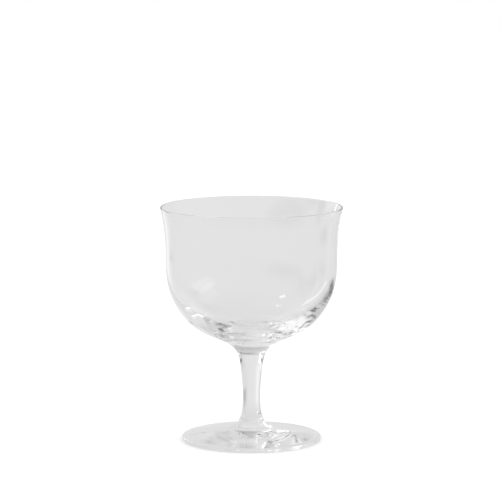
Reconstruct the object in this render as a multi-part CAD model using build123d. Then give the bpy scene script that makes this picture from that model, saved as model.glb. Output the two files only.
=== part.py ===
from build123d import *
import os

# A short-stemmed cocktail glass in three pieces of clear glass: a thin blown bowl, a drawn stem and a broad
# foot. They are fused end to end at two flat seams. Everything is round about +Z, and the foot stands on Z = 0.
# All sizes are in millimetres.

# Lengths of the three pieces along the axis, from the table up
foot_height = 10.5
stem_length = 30.5
bowl_height = 69.0

# Bowl: its widest body, the lip that flares out above it, its walls and the neck under it
waist_radius = 40.0
lip_height = 22.0
lip_flare = 2.65
wall_thickness = 1.3
rim_thickness = 1.1
floor_thickness = 9.7
neck_radius = 6.5

# Stem
stem_waist_radius = 4.05
hub_radius = 5.3

# Foot
foot_radius = 32.5
foot_edge_thickness = 1.9
standing_ring_width = 3.5
underside_hollow = 0.4
flare_radius = 12.0
flare_height = 5.0

# Points of the outlines. Each pair is a share of a radius and a share of a height, counted upwards.
hull_shares = ((0.215, 0.06), (0.39, 0.15), (0.66, 0.268), (0.86, 0.455), (0.965, 0.66))
cavity_shares = ((0.475, 0.078), (0.745, 0.25), (0.895, 0.435), (0.972, 0.63))
stem_upper_shares = ((0.10, 0.52), (0.40, 0.76))
stem_lower_shares = ((0.18, 0.16),)
stem_waist_share = 0.34
flare_shares = ((0.19, 0.52),)

# How far each curve leans out at a seam, as a share of how far it rises there
neck_lean_share = 0.55
stem_top_lean_share = 0.33
hub_lean_share = 0.45

# How much of a wall or an edge its rounding takes, from each side
rounding_share = 0.48

# Heights that follow
stem_base = foot_height
stem_top = stem_base + stem_length
rim_top = stem_top + bowl_height
waist_height = rim_top - lip_height
cavity_floor = stem_top + floor_thickness


def between(low, high, share):
    """The value that lies at a share of the way from low to high."""
    return low + share * (high - low)


def outline(inner, outer, low, high, shares):
    """Points of an outline whose radii run from inner to outer while its heights run from low to high."""
    return [(between(inner, outer, across), between(low, high, up)) for across, up in shares]


def curve(points, leave, arrive):
    """A smooth line through the points, with the directions in which it leaves the first and reaches the last."""
    return Spline(*points, tangents=(leave, arrive), tangent_scalars=(1, 1))


def section(*curves):
    """The flat face inside a closed outline, with its radii along X and its heights along Y."""
    return make_face(Curve() + list(curves))


def turned(face):
    """The solid that a section makes when it stands upright and turns once about the axis."""
    return revolve(Plane.XZ * face, axis=Axis.Z)


def hull_section():
    """The bowl as if it were solid: funnel from the neck, round underside, straight body and flared lip."""
    neck = (neck_radius, stem_top)
    waist = (waist_radius, waist_height)
    rim = (waist_radius + lip_flare, rim_top)
    belly = outline(0, waist_radius, stem_top, waist_height, hull_shares)
    return section(
        curve((neck, *belly, waist), (neck_lean_share, 1), (0, 1)),
        TangentArc(waist, rim, tangent=(0, 1)),
        Polyline(rim, (0, rim_top), (0, stem_top), neck),
    )


def cavity_section():
    """The space for the drink: a wide round floor, and walls that follow the hull from inside."""
    floor = (0, cavity_floor)
    waist = (waist_radius - wall_thickness, waist_height)
    rim = (waist_radius + lip_flare - rim_thickness, rim_top)
    sides = outline(0, waist_radius - wall_thickness, cavity_floor, waist_height, cavity_shares)
    return section(
        curve((floor, *sides, waist), (1, 0), (0, 1)),
        TangentArc(waist, rim, tangent=(0, 1)),
        Polyline(rim, (0, rim_top), floor),
    )


def bowl():
    """The blown bowl, with its rim melted round."""
    glass = hull_section() - cavity_section()
    rim = glass.vertices().group_by(Axis.Y)[-1]
    return turned(fillet(rim, rim_thickness * rounding_share))


def stem():
    """The drawn stem: slim at its waist, spreading up into the bowl and down into the foot."""
    base = (hub_radius, stem_base)
    waist = (stem_waist_radius, between(stem_base, stem_top, stem_waist_share))
    top = (neck_radius, stem_top)
    lower = outline(stem_waist_radius, hub_radius, stem_base, stem_top, stem_lower_shares)
    upper = outline(stem_waist_radius, neck_radius, stem_base, stem_top, stem_upper_shares)
    side = curve((base, *lower, waist, *upper, top), (-hub_lean_share, 1), (stem_top_lean_share, 1))
    return turned(section(side, Polyline(top, (0, stem_top), (0, stem_base), base)))


def foot():
    """The foot: a broad disc, thin at its edge, that rises to the hub, on a flat ring round a slight hollow."""
    hub = (hub_radius, foot_height)
    disc = (flare_radius, flare_height)
    edge = (foot_radius, foot_edge_thickness)
    ring = (foot_radius - standing_ring_width, 0)
    hollow = (0, underside_hollow)
    flare = [
        (between(hub_radius, flare_radius, across), between(flare_height, foot_height, up))
        for across, up in reversed(flare_shares)
    ]
    cone = Vector(*edge) - Vector(*disc)
    glass = section(
        curve((hub, *flare, disc), (hub_lean_share, -1), cone),
        Polyline(disc, edge, (foot_radius, 0), ring),
        TangentArc(hollow, ring, tangent=(1, 0)),
        Polyline(hollow, (0, foot_height), hub),
    )
    rim = glass.vertices().group_by(Axis.X)[-1]
    return turned(fillet(rim, foot_edge_thickness * rounding_share))


os.makedirs("parts", exist_ok=True)
for name, piece in {"bowl": bowl(), "stem": stem(), "foot": foot()}.items():
    export_step(piece, f"parts/{name}.step")
    print(f"{name}: {piece.volume:.0f} mm3 of glass")
print(f"The bowl holds {turned(cavity_section()).volume / 1000:.0f} ml to the brim")
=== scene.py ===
# %% [markdown]
# # A short-stemmed cocktail glass
#
# The glass is three pieces of clear glass, fused end to end: a thin blown bowl, a drawn stem and a broad
# foot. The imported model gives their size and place, and stays as it is. This lesson turns each piece once
# more as a finer mesh, because clear glass shows every facet. Then it gives the pieces a finish, a studio
# and a camera.

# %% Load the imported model
import math

import bmesh
import bpy
import numpy as np
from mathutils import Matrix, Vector


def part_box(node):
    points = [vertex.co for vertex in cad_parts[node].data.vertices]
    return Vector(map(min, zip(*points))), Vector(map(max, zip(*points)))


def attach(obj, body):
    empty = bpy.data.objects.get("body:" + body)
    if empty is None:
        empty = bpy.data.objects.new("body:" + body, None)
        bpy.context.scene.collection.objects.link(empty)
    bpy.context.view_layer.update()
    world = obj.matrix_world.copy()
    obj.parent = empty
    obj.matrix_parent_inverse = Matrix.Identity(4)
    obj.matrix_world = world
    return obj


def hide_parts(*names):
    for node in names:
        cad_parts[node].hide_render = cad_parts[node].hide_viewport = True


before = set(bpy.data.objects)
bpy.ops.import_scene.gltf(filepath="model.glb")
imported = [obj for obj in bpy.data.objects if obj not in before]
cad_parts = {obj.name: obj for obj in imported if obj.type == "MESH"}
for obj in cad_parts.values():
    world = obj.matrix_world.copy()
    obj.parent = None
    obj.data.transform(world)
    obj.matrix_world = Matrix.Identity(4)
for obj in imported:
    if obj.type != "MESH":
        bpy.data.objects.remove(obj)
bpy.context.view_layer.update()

# %% [markdown]
# ## Sizes
#
# A glass is easiest to think of in millimetres, so the outlines are drawn in them and scaled once, at the
# end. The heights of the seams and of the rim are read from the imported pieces, so that they can't drift
# from the model. What a box can't tell, such as the thickness of a wall, is named in the cell of the piece
# that has it.

# %% Heights and radii, in millimetres
millimetre = 0.001
foot_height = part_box("foot")[1].z / millimetre
stem_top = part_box("stem")[1].z / millimetre
rim_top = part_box("bowl")[1].z / millimetre
foot_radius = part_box("foot")[1].x / millimetre
neck_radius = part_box("stem")[1].x / millimetre
print(f"seams at {foot_height:.2f} and {stem_top:.2f} mm, rim at {rim_top:.2f} mm")

# %% [markdown]
# ## Outlines
#
# Each piece is turned from an outline, as the real ones are shaped against a block or a paddle while they
# turn. An outline could be a long list of points, but then nobody could change it. Here it is a few points
# on the real glass, with a smooth line through them. A Bezier curve goes through its points too, and its
# handles say how it bends, so the helper below finds the handles for which the bending never jumps. A jump
# in the bending doesn't show on clay, but it shows at once as a kink in what clear glass refracts.

# %% A smooth line through a few points
def smooth(points, leave, arrive):
    """Bezier runs through the points, given the directions at the first point and at the last."""
    points = np.array(points)
    steps = np.linalg.norm(np.diff(points, axis=0), axis=1)
    last = len(steps)
    rows, pulls = np.eye(last + 1), np.zeros_like(points)
    pulls[0], pulls[last] = leave / np.linalg.norm(leave), arrive / np.linalg.norm(arrive)
    for i in range(1, last):
        before, after = 1 / steps[i - 1], 1 / steps[i]
        rows[i, i - 1 : i + 2] = before, 2 * (before + after), after
        pulls[i] = 3 * ((points[i] - points[i - 1]) * before**2 + (points[i + 1] - points[i]) * after**2)
    slopes = np.linalg.solve(rows, pulls)
    return [
        (start, start + slope * step / 3, end - next_slope * step / 3, end)
        for start, end, slope, next_slope, step in zip(points, points[1:], slopes, slopes[1:], steps)
    ]


# %% [markdown]
# The rest of an outline is simple: straight runs where two pieces meet, and one round run up the lip. The
# points of a smooth line are given as shares of the way across and up, so that the shape follows the sizes.

# %% Straight runs, round runs and shares
def straight(*corners):
    """Straight Bezier runs from corner to corner."""
    corners = [np.array(corner) for corner in corners]
    return [(a, a + (b - a) / 3, b - (b - a) / 3, b) for a, b in zip(corners, corners[1:])]


def bent_from_upright(start, end):
    """One round run that leaves the start straight upwards, as a lip does."""
    across, up = end[0] - start[0], end[1] - start[1]
    turn = 2 * math.atan2(across, up)
    reach = 4 / 3 * math.tan(turn / 4) * (across**2 + up**2) / (2 * across)
    leave, arrive = np.array((0, 1)), np.array((math.sin(turn), math.cos(turn)))
    start, end = np.array(start), np.array(end)
    return [(start, start + leave * reach, end - arrive * reach, end)]


def backwards(runs):
    """The same runs, followed from their end to their start."""
    return [(end, arrive, leave, start) for start, leave, arrive, end in reversed(runs)]


def between(low, high, share):
    """The value at a share of the way from low to high."""
    return low + share * (high - low)


def placed(inner, outer, low, high, shares):
    """Points whose radii run from inner to outer while their heights run from low to high."""
    return [(between(inner, outer, across), between(low, high, up)) for across, up in shares]


# %% [markdown]
# ## Turning
#
# Blender's own curve cuts each run into short edges. On a straight run they would only add faces, so their
# points are dissolved. A spin of a full turn then carries the outline once round the axis. The copies that
# meet on the axis and at the end of the turn are merged, which closes the shell, and the normals are made
# to point outwards afterwards. Where two pieces are fused, each has a flat disc. Those discs aren't a
# surface of the real glass, so they are marked here, and the finish lets light straight through them.

# %% Turn an outline into a closed shell
edges_per_run = 32
steps_round = 160
tiny = 1e-3
dead_straight = math.radians(0.02)


def drawn(runs):
    """A mesh of short edges that follows the runs, with radii along X and heights along Z."""
    curve = bpy.data.curves.new("outline", "CURVE")
    curve.dimensions = "3D"
    curve.resolution_u = edges_per_run
    spline = curve.splines.new("BEZIER")
    spline.bezier_points.add(len(runs))
    for point in spline.bezier_points:
        point.handle_left_type = point.handle_right_type = "FREE"
    for here, there, run in zip(spline.bezier_points, spline.bezier_points[1:], runs):
        start, leave, arrive, end = (Vector((radius, 0, height)) for radius, height in run)
        here.co, here.handle_right, there.handle_left, there.co = start, leave, arrive, end
    return bpy.data.meshes.new_from_object(bpy.data.objects.new("outline", curve))


def turned(runs, seams):
    """The shell that the runs make in a full turn, with its faces on the seams marked."""
    shell = bmesh.new()
    shell.from_mesh(drawn(runs))
    bmesh.ops.dissolve_limit(shell, angle_limit=dead_straight, verts=shell.verts, edges=shell.edges)
    bmesh.ops.spin(
        shell, geom=shell.verts[:] + shell.edges[:], cent=(0, 0, 0), axis=(0, 0, 1), dvec=(0, 0, 0),
        angle=math.tau, steps=steps_round, use_merge=True, use_duplicate=False,
    )
    bmesh.ops.remove_doubles(shell, verts=shell.verts, dist=tiny)
    bmesh.ops.recalc_face_normals(shell, faces=shell.faces)
    for face in shell.faces:
        heights = [vertex.co.z for vertex in face.verts]
        fused = any(max(heights) - tiny < seam < min(heights) + tiny for seam in seams)
        face.material_index = int(fused)
        face.smooth = not fused
    for edge in shell.edges:
        edge.smooth = len({face.material_index for face in edge.link_faces}) < 2
    return shell


# %% [markdown]
# The rim and the edge of the foot are sharp in the outline and are melted round afterwards, as the burner
# does it. Rounding the edge of the finished shell takes the same width of glass from both of its sides. The
# radius of each of its two corners is a little less than half of the thickness, so that a narrow flat is
# left between them.

# %% Melt an edge round
edge_cuts, melted_share = 6, 0.48


def ring(shell, radius, height):
    """The edges of the circle at a radius and a height."""
    def on_it(vertex):
        return abs(math.hypot(vertex.co.x, vertex.co.y) - radius) < tiny and abs(vertex.co.z - height) < tiny
    return [edge for edge in shell.edges if all(on_it(vertex) for vertex in edge.verts)]


def melted_round(shell, edges, width):
    """Rounds an edge, taking the width from the surfaces on each side of it."""
    bmesh.ops.bevel(
        shell, geom=edges, offset=width, offset_type="OFFSET", segments=edge_cuts, profile=0.5,
        affect="EDGES", material=-1, clamp_overlap=False,
    )
    for face in shell.faces:
        face.smooth = face.material_index == 0


# %% [markdown]
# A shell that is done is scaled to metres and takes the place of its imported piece. It rides on the one
# rigid body that the whole glass is. A millionth is taken off every size, so that no rounding can carry the
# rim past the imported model's box.

# %% Hand a shell over as a piece
just_inside = 1 - 1e-6


def finished(name, shell):
    """The shell as a piece of the glass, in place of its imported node."""
    bmesh.ops.scale(shell, vec=(millimetre * just_inside,) * 3, verts=shell.verts)
    closed = all(edge.is_manifold for edge in shell.edges)
    volume = shell.calc_volume() / millimetre**3
    print(f"{name}: {len(shell.faces)} faces, closed {closed}, {volume:.0f} mm3")
    mesh = bpy.data.meshes.new(name)
    shell.to_mesh(mesh)
    shell.free()
    piece = bpy.data.objects.new(f"glass_{name}", mesh)
    bpy.context.scene.collection.objects.link(piece)
    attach(piece, "root")
    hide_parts(name)
    return piece


# %% [markdown]
# ## The bowl
#
# A blown bowl is thin at its lip and thick at its floor, where the gather sat on the iron. The thickness
# isn't seen directly. It shows as the band along the lower edge in which light is reflected inside the
# wall, and that band is as wide as the wall is thick. So the outside and the inside are two separate lines
# here.

# %% Outside and inside of the bowl
lip_height, lip_flare = 22.0, 2.63
waist_radius, waist_height = 40.0, rim_top - lip_height
wall, rim, floor = 1.3, 1.1, 9.7
neck_spread = (0.55, 1)
neck = (neck_radius, stem_top)
outer_waist, inner_waist = (waist_radius, waist_height), (waist_radius - wall, waist_height)
outer_rim, inner_rim = (waist_radius + lip_flare, rim_top), (waist_radius + lip_flare - rim, rim_top)
cavity_floor = (0, stem_top + floor)
level, upright = (1, 0), (0, 1)

belly = placed(
    0, waist_radius, stem_top, waist_height,
    ((0.215, 0.06), (0.39, 0.15), (0.66, 0.268), (0.86, 0.455), (0.965, 0.66)),
)
inside = placed(
    0, inner_waist[0], cavity_floor[1], waist_height,
    ((0.475, 0.078), (0.745, 0.25), (0.895, 0.435), (0.972, 0.63)),
)
outer_runs = smooth((neck, *belly, outer_waist), neck_spread, upright)
outer_runs += bent_from_upright(outer_waist, outer_rim)
inner_runs = smooth((cavity_floor, *inside, inner_waist), level, upright)
inner_runs += bent_from_upright(inner_waist, inner_rim)
print(f"{len(outer_runs)} runs outside, {len(inner_runs)} inside")

# %% [markdown]
# Where the stem is drawn out of the hot base, the floor of the bowl is pulled and pushed, and keeps a few
# low rings, like water in which a stone has fallen. They are only a few hundredths of a millimetre high,
# but they break the light in the thick floor into bright and dark streaks, which an even floor doesn't
# show. They could be painted as a bump. As a shape they bend the light properly from every side, also at a
# slant. The rings wander a little, since no hand pulls dead straight: by a share of their spacing, once and
# twice in each turn. They fade out in the middle and up the wall.

# %% Rings in the bowl's floor
ring_height, ring_spacing = 0.035, 3.6
rings_begin, rings_end, rings_fade = 4.0, 24.0, 6.0
once_round, once_begins = 0.30, 0.7
twice_round, twice_begins = 0.16, 2.1
lies_flat = 0.3


def ring_lift(radius, turn):
    """How far the rings lift the floor of the bowl at a place, in millimetres."""
    wander = once_round * math.sin(turn + once_begins) + twice_round * math.sin(2 * turn + twice_begins)
    fade = min(1, radius / rings_begin) * min(1, (rings_end - radius) / rings_fade)
    return ring_height * fade * math.sin(math.tau * (radius / ring_spacing + wander))


def add_rings(shell):
    """Moves the floor of the cavity, which lies fairly flat and faces up, along its own normals."""
    shell.normal_update()
    lifted = 0
    for vertex in shell.verts:
        radius = math.hypot(vertex.co.x, vertex.co.y)
        if vertex.normal.z > lies_flat and radius < rings_end:
            vertex.co += vertex.normal * ring_lift(radius, math.atan2(vertex.co.x, vertex.co.y))
            lifted += 1
    return lifted


# %% [markdown]
# The two sharp corners of the rim are melted round last. The lip leans outwards, so its outer corner is the
# sharper one and loses more of each side than the inner one for the same roundness.

# %% Turn the bowl and melt its rim
rim_roundness = melted_share * rim
lean = 2 * math.atan2(lip_flare, lip_height)
bowl_shell = turned(
    straight((0, stem_top), neck) + outer_runs + straight(outer_rim, inner_rim) + backwards(inner_runs),
    seams=(stem_top,),
)
print(f"the rings move {add_rings(bowl_shell)} points")
melted_round(bowl_shell, ring(bowl_shell, *outer_rim), rim_roundness / math.tan(math.pi / 4 - lean / 2))
melted_round(bowl_shell, ring(bowl_shell, *inner_rim), rim_roundness / math.tan(math.pi / 4 + lean / 2))
bowl = finished("bowl", bowl_shell)

# %% [markdown]
# ## The stem
#
# The stem is drawn out of the hot glass, so it is slim in its lower half and spreads at both ends. It is
# solid, and works as a lens: what is seen in it is the studio behind it, turned left to right.

# %% Turn the stem
hub_radius, stem_waist_radius = 5.3, 4.05
waist_share = 0.34
hub_spread, top_spread = (-0.45, 1), (0.33, 1)
hub = (hub_radius, foot_height)
stem_waist = (stem_waist_radius, between(foot_height, stem_top, waist_share))
lower = placed(stem_waist_radius, hub_radius, foot_height, stem_top, ((0.18, 0.16),))
upper = placed(stem_waist_radius, neck_radius, foot_height, stem_top, ((0.10, 0.52), (0.40, 0.76)))
side = smooth((hub, *lower, stem_waist, *upper, neck), hub_spread, top_spread)
stem_shell = turned(
    straight((0, foot_height), hub) + side + straight(neck, (0, stem_top)), seams=(foot_height, stem_top)
)
stem = finished("stem", stem_shell)

# %% [markdown]
# ## The foot
#
# The foot is a gather pressed out flat. It rises to a small hub, and stands on a ring near its edge,
# because its underside is very slightly hollow: a truly flat one would rock. The hollow is a shallow dome,
# so its outline is one round run that leaves the axis level.

# %% Outline of the foot
edge_thickness, ring_width, hollow_depth = 1.9, 3.5, 0.4
flare = (12.0, 5.0)
edge = (foot_radius, edge_thickness)
standing_ring = (foot_radius - ring_width, 0)
rise = placed(hub_radius, flare[0], flare[1], foot_height, ((0.19, 0.52),))
hollow_turn = 2 * math.atan2(hollow_depth, standing_ring[0])
hollow_reach = standing_ring[0] / 3
hollow_run = [(
    np.array((0, hollow_depth)), np.array((hollow_reach, hollow_depth)),
    np.array(standing_ring) + hollow_reach * np.array((-math.cos(hollow_turn), math.sin(hollow_turn))),
    np.array(standing_ring),
)]
print(f"the underside is {hollow_depth} mm hollow, inside a flat ring {ring_width} mm wide")

# %% [markdown]
# The edge is melted round like the rim. The top of the foot falls towards it, so the upper corner is a
# little blunter than a square one and loses less of each side for the same roundness.

# %% Turn the foot and melt its edge
foot_shell = turned(
    hollow_run
    + straight(standing_ring, (foot_radius, 0), edge, flare)
    + backwards(smooth((hub, *rise, flare), np.negative(hub_spread), np.subtract(edge, flare)))
    + straight(hub, (0, foot_height)),
    seams=(foot_height,),
)
edge_roundness = melted_share * edge_thickness
slope = math.atan2(flare[1] - edge_thickness, foot_radius - flare[0])
melted_round(foot_shell, ring(foot_shell, foot_radius, 0), edge_roundness)
melted_round(foot_shell, ring(foot_shell, *edge), edge_roundness / math.tan(math.pi / 4 + slope / 2))
foot = finished("foot", foot_shell)

# %% [markdown]
# ## Finishes
#
# A finish is a few shader nodes, and the same small steps come back in each. So two helpers come first: one
# starts a material, and one multiplies the value that comes out of a node.

# %% Node helpers
def new_material(name):
    """A new material with its nodes and links."""
    material = bpy.data.materials.new(name)
    material.use_nodes = True
    return material, material.node_tree.nodes, material.node_tree.links


def times(nodes, links, value, factor):
    """The value times a fixed factor."""
    product = nodes.new("ShaderNodeMath")
    product.operation = "MULTIPLY"
    product.inputs[1].default_value = factor
    links.new(value, product.inputs[0])
    return product.outputs[0]


# %% [markdown]
# Clear glass has hardly any colour of its own. It bends light, and it reflects a little of it, more at a
# slant. Both follow from one number, the index of refraction, so the shader has full transmission and no
# roughness. Hand finished glass is never quite even. While it turns on the iron, its skin keeps faint cords
# that run round the axis, a hundredth of a millimetre high where the fire has smoothed it and more on the
# pressed foot. A noise makes them: it is laid out by the distance from the axis and the height, and along
# the cords it changes four times as slowly. Plain noise in all directions would make the surface look
# crumbly.

# %% Clear glass
glass_tint = (0.988, 0.988, 0.987, 1)
refraction = 1.5
along_the_cords = 0.25


def clear_glass(name, unevenness, spacing):
    """Clear glass whose cords stand up by the unevenness and lie a spacing apart, in millimetres."""
    material, nodes, links = new_material(name)
    surface = nodes["Principled BSDF"]
    surface.inputs["Base Color"].default_value = glass_tint
    surface.inputs["Roughness"].default_value = 0.0
    surface.inputs["IOR"].default_value = refraction
    surface.inputs["Transmission Weight"].default_value = 1.0
    place, split, flat, from_axis, cords, noise, bend = (
        nodes.new("ShaderNode" + kind)
        for kind in ("TexCoord", "SeparateXYZ", "Mapping", "VectorMath", "CombineXYZ", "TexNoise", "Bump")
    )
    flat.inputs["Scale"].default_value = (1, 1, 0)
    from_axis.operation = "LENGTH"
    noise.inputs["Scale"].default_value = 1 / (spacing * millimetre)
    noise.inputs["Detail"].default_value = 1.0
    bend.inputs["Strength"].default_value = 1.0
    bend.inputs["Distance"].default_value = unevenness * millimetre
    links.new(place.outputs["Object"], split.inputs["Vector"])
    links.new(place.outputs["Object"], flat.inputs["Vector"])
    links.new(flat.outputs["Vector"], from_axis.inputs[0])
    links.new(from_axis.outputs["Value"], cords.inputs["X"])
    links.new(times(nodes, links, split.outputs["X"], along_the_cords), cords.inputs["Y"])
    links.new(split.outputs["Z"], cords.inputs["Z"])
    links.new(cords.outputs["Vector"], noise.inputs["Vector"])
    links.new(noise.outputs["Fac"], bend.inputs["Height"])
    links.new(bend.outputs["Normal"], surface.inputs["Normal"])
    return material


fire_polished = clear_glass("clear glass, fire polished", unevenness=0.01, spacing=8)
pressed = clear_glass("clear glass, pressed out flat", unevenness=0.03, spacing=1.5)
print("two glasses, both with an index of refraction of", refraction)

# %% [markdown]
# Where the pieces are fused, the glass goes on without a surface. If the discs there were glass as well,
# light would be reflected at them, and a bright disc would float at each end of the stem.

# %% The fused seams, and a finish for every piece
fused_seam, nodes, links = new_material("fused seam")
nodes.remove(nodes["Principled BSDF"])
straight_on = nodes.new("ShaderNodeBsdfTransparent")
links.new(straight_on.outputs["BSDF"], nodes["Material Output"].inputs["Surface"])

for piece, glass in ((bowl, fire_polished), (stem, fire_polished), (foot, pressed)):
    piece.data.materials.append(glass)
    piece.data.materials.append(fused_seam)
    print(piece.name, "has", [slot.material.name for slot in piece.material_slots])

# %% [markdown]
# Light crosses a wall, is reflected inside it many times, and only then reaches the eye, so the glass needs
# far more bounces than an opaque object does. With too few of them its thick parts turn black.

# %% Let light bounce long enough
enough_bounces = 256

cycles = bpy.context.scene.cycles
cycles.max_bounces = cycles.transmission_bounces = enough_bounces
cycles.glossy_bounces = cycles.transparent_max_bounces = enough_bounces
print("light may bounce", enough_bounces, "times")

# %% [markdown]
# ## The studio
#
# The glass stands on a pale floor in a pale room, and the picture behind it is plain white. Clear glass
# shows nothing but what is round it, so the room is half of its look. In an even room the glass would all
# but vanish: its edges and streaks are the room's brighter and duller sides, which the glass has brought
# together. So the camera sees the floor and the world at a strength of 1, which is white, and a ray that
# the glass has turned sees how bright the room is on that side.

# %% Rays that glass has turned
def glass_rays(nodes, links):
    """1 for a camera ray, and 1 for a ray that a piece of glass has reflected or refracted."""
    path, either = nodes.new("ShaderNodeLightPath"), nodes.new("ShaderNodeMath")
    either.operation, either.use_clamp = "ADD", True
    links.new(path.outputs["Is Glossy Ray"], either.inputs[0])
    links.new(path.outputs["Is Transmission Ray"], either.inputs[1])
    return path.outputs["Is Camera Ray"], either.outputs[0]


# %% [markdown]
# The greys that glass sees change from place to place. Two more helpers do that: one lays the range of a
# value over another range, such as a distance over a grey, and one goes over from one value to another.

# %% From one value to another
def stretched(nodes, links, value, old, new=(0, 1)):
    """The value with its old range laid over the new one, and held at both ends."""
    stretch = nodes.new("ShaderNodeMapRange")
    stretch.inputs["From Min"].default_value, stretch.inputs["From Max"].default_value = old
    stretch.inputs["To Min"].default_value, stretch.inputs["To Max"].default_value = new
    links.new(value, stretch.inputs["Value"])
    return stretch.outputs["Result"]


def from_to(nodes, links, first, second, share):
    """A fixed first value where the share is 0, and the second value where it is 1."""
    mix = nodes.new("ShaderNodeMix")
    mix.data_type = "FLOAT"
    mix.inputs["A"].default_value = first
    links.new(second, mix.inputs["B"])
    links.new(share, mix.inputs["Factor"])
    return mix.outputs["Result"]


# %% [markdown]
# The brightness is given by azimuth: 0 is behind the glass, 90 to its right and 180 at the camera. The room
# is brightest behind the glass on its left, where a window would be. As the glass sees it, the floor has a
# painted pool of light on that side, under the soft box there, and on the right a dull lobe that is the
# glass's own shadow, painted on, which draws the left edge of the stem. A colour ramp eases from one stop
# to the next, because a hard step would show as a line in the glass.

# %% How bright the studio is, round the glass
room_round = (
    (-180, 0.65), (-100, 0.7), (-75, 0.65), (-50, 1.05), (-35, 0.9), (-10, 0.8), (15, 0.78), (45, 0.65),
    (70, 0.75), (180, 0.65),
)
# Painted light and shade on the floor, seen only through the glass: a painted pool of light at the back
# left, under the soft box there, and the glass's shadow painted as the dull lobe round 40.
floor_painted_light_and_shadow = (
    (-180, 0.65), (-60, 0.7), (-30, 0.95), (-10, 0.8), (15, 0.78), (40, 0.45), (75, 0.75), (180, 0.65),
)


def round_the_glass(nodes, links, coordinates, stops):
    """The brightness in the direction of a place, from stops of azimuth and brightness, and that place."""
    place, split, azimuth, ramp = (
        nodes.new("ShaderNode" + kind) for kind in ("TexCoord", "SeparateXYZ", "Math", "ValToRGB")
    )
    links.new(place.outputs[coordinates], split.inputs["Vector"])
    azimuth.operation = "ARCTAN2"
    links.new(split.outputs["X"], azimuth.inputs[0])
    links.new(split.outputs["Y"], azimuth.inputs[1])
    links.new(stretched(nodes, links, azimuth.outputs["Value"], (-math.pi, math.pi)), ramp.inputs["Fac"])
    ramp.color_ramp.interpolation = "EASE"
    for degrees, _ in stops[1:-1]:
        ramp.color_ramp.elements.new((degrees + 180) / 360)
    for element, (_, grey) in zip(ramp.color_ramp.elements, stops):
        element.color = (grey, grey, grey, 1)
    return ramp.outputs["Color"], place.outputs[coordinates]


# %% [markdown]
# The floor is a sheet of pale paper, 6 m across, so that it fills the picture from every side. The dark
# cards further down are flat sheets as well, so one helper makes both. It starts from a grid with a single
# face, 1 m wide, and scales it.

# %% Floor
half_a_metre = 0.5
floor_width = 6.0


def flat_sheet(name, width, height):
    """A flat sheet in the scene, of a width and a height in metres."""
    shell = bmesh.new()
    bmesh.ops.create_grid(shell, x_segments=1, y_segments=1, size=half_a_metre)
    bmesh.ops.scale(shell, vec=(width, height, 1), verts=shell.verts)
    mesh = bpy.data.meshes.new(name)
    shell.to_mesh(mesh)
    shell.free()
    sheet = bpy.data.objects.new(name, mesh)
    bpy.context.scene.collection.objects.link(sheet)
    return sheet


floor_sheet = flat_sheet("floor", floor_width, floor_width)
print("the floor is", floor_width, "m across")

# %% [markdown]
# A little light of the paper's own, for the camera alone, lifts it to the white of the backdrop and leaves
# the glass's faint shadow on it. Seen through the glass it doesn't show its lit self but painted greys: an
# even one under the foot, the ramp's painted pool of light and painted shadow of the glass round about, and
# far away at least one like the room's, so that the painted shadow stays near the glass and the horizon
# hardly shows.

# %% Pale paper, with painted light and shadow for the glass
paper_white, paper_roughness, floor_lift = 0.8, 0.9, 0.3
# Painted greys for the floor as the glass sees it: an even one under the foot, and far away a grey that
# rises to the room's and ends the painted shadow of the glass.
under_the_foot, under_grey = (0.03, 0.08), 0.74
far_away, far_grey = (0.12, 0.24), (0.4, 0.74)

pale_paper_with_painted_shade, nodes, links = new_material("pale paper")
paper = nodes["Principled BSDF"]
paper.inputs["Base Color"].default_value = (paper_white, paper_white, paper_white, 1)
paper.inputs["Roughness"].default_value = paper_roughness
paper.inputs["Specular IOR Level"].default_value = 0.0
paper.inputs["Emission Color"].default_value = (1, 1, 1, 1)
from_camera, from_glass = glass_rays(nodes, links)
links.new(times(nodes, links, from_camera, floor_lift), paper.inputs["Emission Strength"])

# The floor's painted pool of light and painted shadow of the glass, by azimuth round the glass.
brightness, place = round_the_glass(nodes, links, "Object", floor_painted_light_and_shadow)
away, lit, painted_floor_for_glass, either = (
    nodes.new("ShaderNode" + kind) for kind in ("VectorMath", "Math", "Emission", "MixShader")
)
away.operation, lit.operation = "LENGTH", "MAXIMUM"
links.new(place, away.inputs[0])
links.new(brightness, lit.inputs[0])
# Far from the glass the painted shadow is lifted to the room's grey.
links.new(stretched(nodes, links, away.outputs["Value"], far_away, far_grey), lit.inputs[1])
near = stretched(nodes, links, away.outputs["Value"], under_the_foot)
links.new(from_to(nodes, links, under_grey, lit.outputs["Value"], near), painted_floor_for_glass.inputs["Strength"])
links.new(from_glass, either.inputs["Fac"])
links.new(paper.outputs["BSDF"], either.inputs[1])
links.new(painted_floor_for_glass.outputs["Emission"], either.inputs[2])
links.new(either.outputs["Shader"], nodes["Material Output"].inputs["Surface"])
floor_sheet.data.materials.append(pale_paper_with_painted_shade)
print(f"{pale_paper_with_painted_shade.name}: {under_grey} under the foot and {far_grey[1]} far away")

# %% [markdown]
# The world is the backdrop and the room's walls. Over the backdrop the ceiling is duller, which the glass
# mirrors as the soft grey of the upper half of its far wall. How far a direction is from the middle of that
# dull part is told by the dot product of the two.

# %% World
over_backdrop, ceiling_grey = Vector((0.25, 0.45, 0.86)), 0.6
ceiling_edge = (0.65, 0.92)

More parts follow.
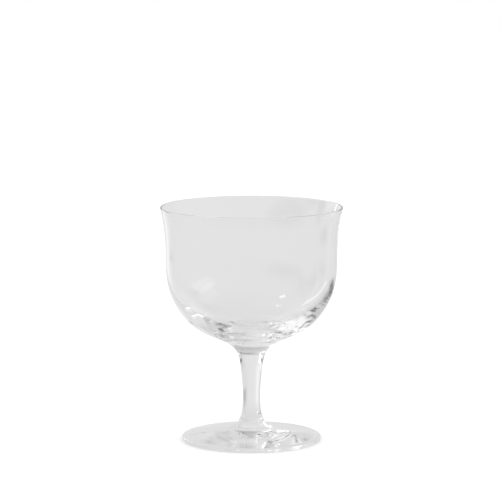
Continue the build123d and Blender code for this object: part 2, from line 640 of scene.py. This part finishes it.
world = bpy.data.worlds.new("studio")
bpy.context.scene.world = world
world.use_nodes = True
nodes, links = world.node_tree.nodes, world.node_tree.links
brightness, direction = round_the_glass(nodes, links, "Generated", room_round)
towards, room = nodes.new("ShaderNodeVectorMath"), nodes.new("ShaderNodeMath")
towards.operation, room.operation = "DOT_PRODUCT", "MULTIPLY"
towards.inputs[1].default_value = over_backdrop
links.new(direction, towards.inputs[0])
links.new(brightness, room.inputs[0])
ceiling = stretched(nodes, links, towards.outputs["Value"], ceiling_edge, (1.0, ceiling_grey))
links.new(ceiling, room.inputs[1])
_, from_glass = glass_rays(nodes, links)
backdrop = nodes["Background"]
backdrop.inputs["Color"].default_value = (1, 1, 1, 1)
strength = from_to(nodes, links, 1.0, room.outputs["Value"], from_glass)
links.new(strength, backdrop.inputs["Strength"])
greys = [grey for _, grey in room_round]
print("the room's brightness runs from", min(greys), "to", max(greys))

# %% [markdown]
# Things that stand round the glass are told by where the glass sees them: by azimuth, by elevation and by
# how many degrees they span. All of them face the glass, and the camera doesn't see them.

# %% Places round the glass
glass_middle = Vector((0, 0, 0.06))


def around(azimuth, elevation, distance):
    """A place as seen from the glass, in degrees and metres."""
    across, up = math.radians(azimuth), math.radians(elevation)
    return glass_middle + distance * Vector(
        (math.sin(across) * math.cos(up), math.cos(across) * math.cos(up), math.sin(up))
    )


def aimed(thing, place):
    """The thing at a place, facing the glass and hidden from the camera."""
    thing.location = place
    thing.rotation_euler = (glass_middle - place).to_track_quat("-Z", "Y").to_euler()
    thing.visible_camera = False
    return thing


def across_angle(distance, degrees):
    """How wide a thing is that spans the degrees at a distance."""
    return 2 * distance * math.tan(math.radians(degrees / 2))


print(f"things round the glass face a point {glass_middle.z:.2f} m above the floor")

# %% [markdown]
# Three soft boxes light the glass: a broad one on its right, a tall narrow one behind it on its left and a
# small one high on its left. The broad one lights the left of the bowl, the narrow one is mirrored as the
# white curve on the bowl's right, and the small one as the two bright ovals. A matt light gives off its
# brightness times pi times its area. A box's power is worked out like that, so its brightness stays when
# its size changes.

# %% Soft boxes
lamp_distance = 0.9


def soft_box(name, azimuth, elevation, width, height, brightness):
    """A soft box as the glass sees it: its place and its size in degrees, and how bright its cloth is."""
    lamp = bpy.data.lights.new(name, "AREA")
    lamp.shape = "RECTANGLE"
    lamp.size, lamp.size_y = across_angle(lamp_distance, width), across_angle(lamp_distance, height)
    lamp.energy = brightness * math.pi * lamp.size * lamp.size_y
    box = bpy.data.objects.new(name, lamp)
    bpy.context.scene.collection.objects.link(box)
    print(f"{name}: {lamp.size:.2f} by {lamp.size_y:.2f} m, {lamp.energy:.2f} W")
    return aimed(box, around(azimuth, elevation, lamp_distance))


soft_box("right soft box", azimuth=88, elevation=33, width=44, height=20, brightness=1.02)
soft_box("back left soft box", azimuth=-31, elevation=14, width=7, height=28, brightness=1.6)
soft_box("high left soft box", azimuth=-79, elevation=60, width=6, height=6, brightness=4.5)

# %% [markdown]
# Glass before a white ground has no edge unless something dark stands beside it, so a photographer puts up
# dark cards. Three on the left draw the dark wedge in the bowl's lower right. Two of them leave a gap, so
# that the glass is clear when it is seen straight from the right, and the third hangs over that gap. A high
# one on the right draws the two dark streaks in the left of the bowl's floor. Two low ones behind the glass
# draw the marks at the top of the stem, and the right one of them stands close, where it darkens the bowl's
# edge and misses the foot.
#
# A hard-edged card would show as a patch on the wall of the bowl, so each fades out towards its own edge.
# The card's own coordinates run from 0 to 1 across it. Centred and doubled, they feed a round gradient that
# is 1 in the middle and 0 at the edge, and the fade says how soon the felt is dense.

# %% Felt that fades out
card_fade = 1.8


def faded_felt(name, grey):
    """Matt felt that is dense in the middle of a card and clear at its edge."""
    felt, nodes, links = new_material(name)
    surface = nodes["Principled BSDF"]
    surface.inputs["Base Color"].default_value = (grey, grey, grey, 1)
    surface.inputs["Roughness"].default_value = 1.0
    place, centred, spot, nothing, feathered = (
        nodes.new("ShaderNode" + kind)
        for kind in ("TexCoord", "Mapping", "TexGradient", "BsdfTransparent", "MixShader")
    )
    centred.inputs["Location"].default_value, centred.inputs["Scale"].default_value = (-1, -1, 0), (2, 2, 0)
    spot.gradient_type = "SPHERICAL"
    links.new(place.outputs["Generated"], centred.inputs["Vector"])
    links.new(centred.outputs["Vector"], spot.inputs["Vector"])
    links.new(times(nodes, links, spot.outputs["Fac"], card_fade), feathered.inputs["Fac"])
    links.new(nothing.outputs["BSDF"], feathered.inputs[1])
    links.new(surface.outputs["BSDF"], feathered.inputs[2])
    links.new(feathered.outputs["Shader"], nodes["Material Output"].inputs["Surface"])
    return felt


# %% [markdown]
# A card is a flat sheet of that felt. The cards are there for the glass alone, so they neither shade the
# floor nor dull the light on it.

# %% Dark cards
def card(name, azimuth, elevation, width, height, grey, distance):
    """A card as the glass sees it: place and size in degrees, how grey it is and how many metres away."""
    metres_wide, metres_high = across_angle(distance, width), across_angle(distance, height)
    sheet = flat_sheet(name, metres_wide, metres_high)
    sheet.data.materials.append(faded_felt(f"felt of the {name}", grey))
    sheet.visible_diffuse = sheet.visible_shadow = False
    print(f"{name}: {metres_wide:.2f} by {metres_high:.2f} m")
    return aimed(sheet, around(azimuth, elevation, distance))


card("left dark card", azimuth=-126, elevation=17, width=72, height=27, grey=0.06, distance=0.32)
card("back left dark card", azimuth=-68, elevation=17, width=20, height=27, grey=0.08, distance=0.32)
card("upper left dark card", azimuth=-84, elevation=25, width=34, height=18, grey=0.06, distance=0.32)
card("high right dark card", azimuth=50, elevation=40, width=26, height=30, grey=0.08, distance=0.32)
card("low right dark card", azimuth=50, elevation=-6, width=34, height=10, grey=0.15, distance=0.1)
card("low left dark card", azimuth=-50, elevation=2, width=30, height=9, grey=0.3, distance=0.25)

# %% [markdown]
# ## The camera
#
# The photograph is taken from 1.3 m away through a long lens, from a little above the rim: the rim and the
# foot are both seen as thin ellipses. The lens is given for a sensor 36 mm wide and a square picture.

# %% Camera
camera_place, looks_down = Vector((-0.0007, -1.3, 0.2718)), 7.98
sensor_width, lens = 36, 203.04

camera_data = bpy.data.cameras.new("camera")
camera_data.sensor_width, camera_data.lens = sensor_width, lens
camera = bpy.data.objects.new("camera", camera_data)
bpy.context.scene.collection.objects.link(camera)
camera.location = camera_place
camera.rotation_euler = (math.radians(90 - looks_down), 0, 0)
bpy.context.scene.camera = camera
bpy.context.scene.view_settings.view_transform = "Standard"
print(f"the camera looks down by {looks_down} degrees from {camera_place.length:.2f} m away")
